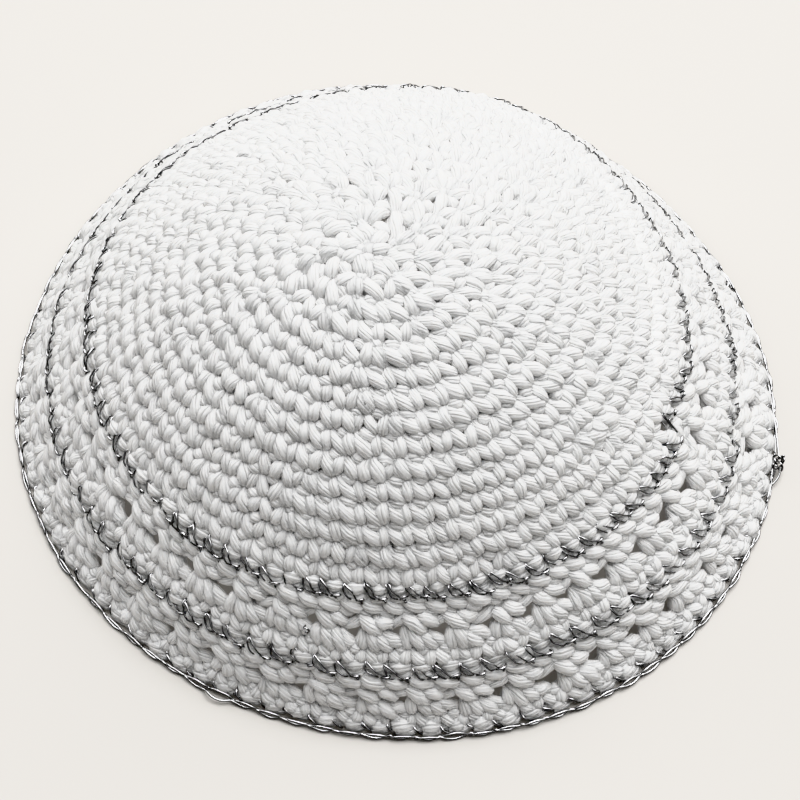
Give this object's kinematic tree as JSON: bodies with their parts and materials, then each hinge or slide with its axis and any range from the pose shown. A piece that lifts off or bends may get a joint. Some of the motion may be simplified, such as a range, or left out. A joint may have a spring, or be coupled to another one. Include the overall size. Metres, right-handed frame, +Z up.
{
  "type": "kippah skullcap",
  "caption": "Domed skullcap crocheted in thick white cotton, with two openwork bands, thin silver rounds and a silver edging.",
  "frame": {"origin": "on the surface the cap lies on, under the middle of its outline", "axes": "+Z up out of the crown, -Y towards the side that faces the camera in the picture, +X to the right there"},
  "size_m": [0.1732, 0.1684, 0.0655],
  "materials": {
    "white_cotton": "thick mercerised cotton yarn, several plies, soft satin sheen",
    "silver_thread": "thin metallic thread, dark grey with bright glints"
  },
  "bodies": {
    "root": {"crown": "white_cotton", "upper_silver_round": "silver_thread", "upper_eyelet_band": "white_cotton", "lower_silver_round": "silver_thread", "lower_eyelet_band": "white_cotton", "silver_edge": "silver_thread", "fasten_off_knot": "silver_thread"}
  },
  "joints": []
}
